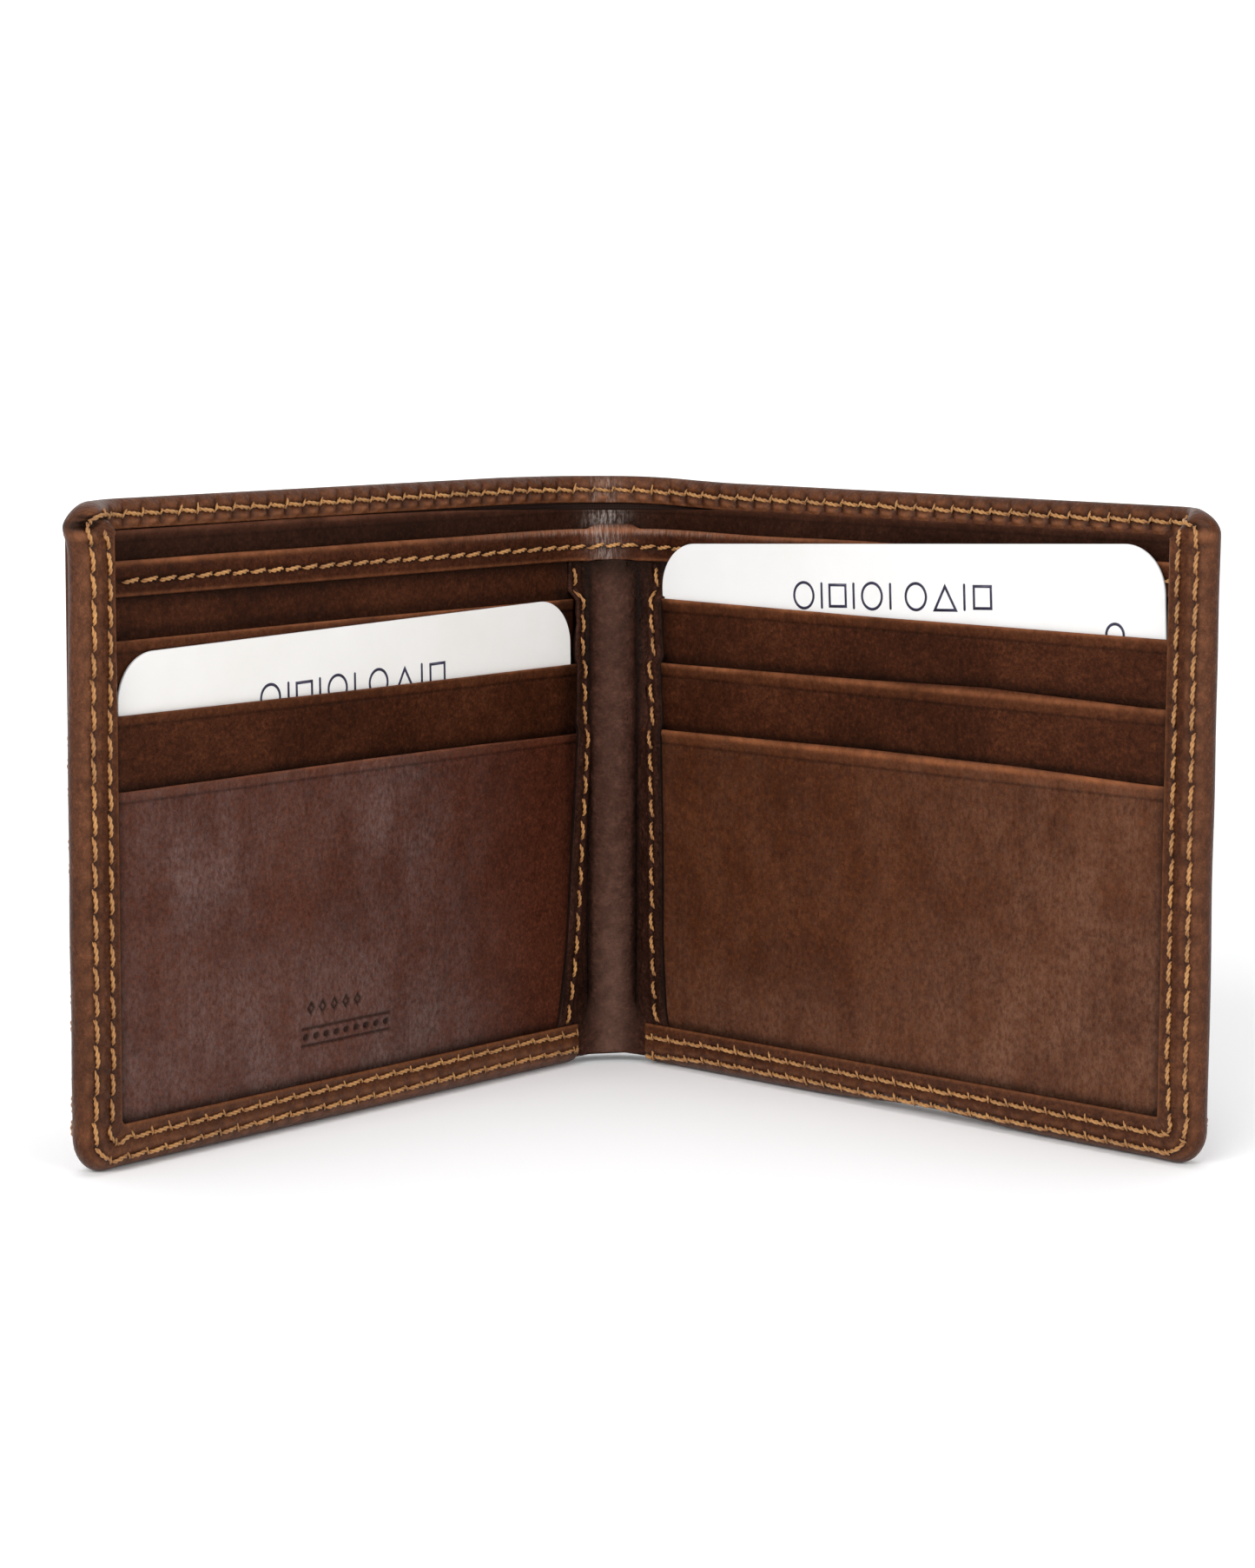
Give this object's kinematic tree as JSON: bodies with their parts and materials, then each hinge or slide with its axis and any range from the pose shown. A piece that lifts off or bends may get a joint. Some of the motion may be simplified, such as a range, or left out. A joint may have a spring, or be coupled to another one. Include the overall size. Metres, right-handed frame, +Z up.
{
  "type": "bifold wallet",
  "caption": "Bifold leather wallet standing half open, with a note compartment, stepped card pockets on each side and a dummy card in each half.",
  "frame": {"origin": "centre of the bounding box on the bottom face, where the standing wallet meets the table", "axes": "+Z up along the fold; -Y towards the inside (the card pockets face -Y), spine at +Y; +X across the open wallet, from the left half to the right half"},
  "size_m": [0.1582, 0.0844, 0.09],
  "materials": {
    "left_back_pocket_facing": "smooth, waxed",
    "left_back_pocket_lining": "woven lining",
    "left_band_stitch": "waxed thread",
    "left_bottom_border": "smooth, waxed",
    "left_card": "satin",
    "left_cover": "smooth, waxed",
    "left_cover_lining": "woven lining",
    "left_front_panel": "smooth, waxed",
    "left_hem_stitch": "waxed thread",
    "left_inner_panel": "smooth, waxed",
    "left_inner_stitch": "waxed thread",
    "left_middle_pocket_facing": "smooth, waxed",
    "left_middle_pocket_lining": "woven lining",
    "left_note_divider": "smooth, waxed",
    "left_outer_stitch": "waxed thread",
    "left_side_border": "smooth, waxed",
    "left_spine_edge": "smooth, waxed",
    "left_spine_edge_stitch": "waxed thread",
    "left_top_band": "smooth, waxed",
    "left_top_hem": "smooth, waxed",
    "right_back_pocket_facing": "smooth, waxed",
    "right_back_pocket_lining": "woven lining",
    "right_band_stitch": "waxed thread",
    "right_bottom_border": "smooth, waxed",
    "right_card": "satin",
    "right_cover": "smooth, waxed",
    "right_cover_lining": "woven lining",
    "right_front_panel": "smooth, waxed",
    "right_hem_stitch": "waxed thread",
    "right_inner_panel": "smooth, waxed",
    "right_inner_stitch": "waxed thread",
    "right_middle_pocket_facing": "smooth, waxed",
    "right_middle_pocket_lining": "woven lining",
    "right_note_divider": "smooth, waxed",
    "right_outer_stitch": "waxed thread",
    "right_side_border": "smooth, waxed",
    "right_spine_edge": "smooth, waxed",
    "right_spine_edge_stitch": "waxed thread",
    "right_top_band": "smooth, waxed",
    "right_top_hem": "smooth, waxed",
    "spine_band_stitch": "waxed thread",
    "spine_cover": "smooth, waxed",
    "spine_cover_lining": "woven lining",
    "spine_hem_stitch": "waxed thread",
    "spine_inner_panel": "smooth, waxed",
    "spine_note_divider": "smooth, waxed",
    "spine_strip": "smooth, waxed",
    "spine_top_band": "smooth, waxed",
    "spine_top_hem": "smooth, waxed"
  },
  "bodies": {
    "left_half": {"left_back_pocket_facing": "left_back_pocket_facing", "left_back_pocket_lining": "left_back_pocket_lining", "left_band_stitch": "left_band_stitch", "left_bottom_border": "left_bottom_border", "left_cover": "left_cover", "left_cover_lining": "left_cover_lining", "left_front_panel": "left_front_panel", "left_hem_stitch": "left_hem_stitch", "left_inner_panel": "left_inner_panel", "left_inner_stitch": "left_inner_stitch", "left_middle_pocket_facing": "left_middle_pocket_facing", "left_middle_pocket_lining": "left_middle_pocket_lining", "left_note_divider": "left_note_divider", "left_outer_stitch": "left_outer_stitch", "left_side_border": "left_side_border", "left_spine_edge": "left_spine_edge", "left_spine_edge_stitch": "left_spine_edge_stitch", "left_top_band": "left_top_band", "left_top_hem": "left_top_hem"},
    "right_half": {"right_back_pocket_facing": "right_back_pocket_facing", "right_back_pocket_lining": "right_back_pocket_lining", "right_band_stitch": "right_band_stitch", "right_bottom_border": "right_bottom_border", "right_cover": "right_cover", "right_cover_lining": "right_cover_lining", "right_front_panel": "right_front_panel", "right_hem_stitch": "right_hem_stitch", "right_inner_panel": "right_inner_panel", "right_inner_stitch": "right_inner_stitch", "right_middle_pocket_facing": "right_middle_pocket_facing", "right_middle_pocket_lining": "right_middle_pocket_lining", "right_note_divider": "right_note_divider", "right_outer_stitch": "right_outer_stitch", "right_side_border": "right_side_border", "right_spine_edge": "right_spine_edge", "right_spine_edge_stitch": "right_spine_edge_stitch", "right_top_band": "right_top_band", "right_top_hem": "right_top_hem"},
    "spine": {"spine_band_stitch": "spine_band_stitch", "spine_cover": "spine_cover", "spine_cover_lining": "spine_cover_lining", "spine_hem_stitch": "spine_hem_stitch", "spine_inner_panel": "spine_inner_panel", "spine_note_divider": "spine_note_divider", "spine_strip": "spine_strip", "spine_top_band": "spine_top_band", "spine_top_hem": "spine_top_hem"},
    "left_card": {"left_card": "left_card"},
    "right_card": {"right_card": "right_card"}
  },
  "joints": [
    {"name": "cover_fold", "type": "hinge", "parent": "left_half", "child": "right_half", "pos_m": [0, 0.03918, 0], "axis": [0, 0, -1], "range_deg": [-95.8, 84]},
    {"name": "spine_bend", "type": "hinge", "parent": "left_half", "child": "spine", "pos_m": [0, 0.03918, 0], "axis": [0, 0, -1], "range_deg": [-47.9, 42]},
    {"name": "left_card_slide", "type": "slide", "parent": "left_half", "child": "left_card", "axis": [0, 0, 1], "range_m": [0, 0.052]},
    {"name": "right_card_slide", "type": "slide", "parent": "right_half", "child": "right_card", "axis": [0, 0, 1], "range_m": [0, 0.052]}
  ],
  "couplings": [
    {"joint": "spine_bend", "follows": "cover_fold", "ratio": 0.5}
  ]
}
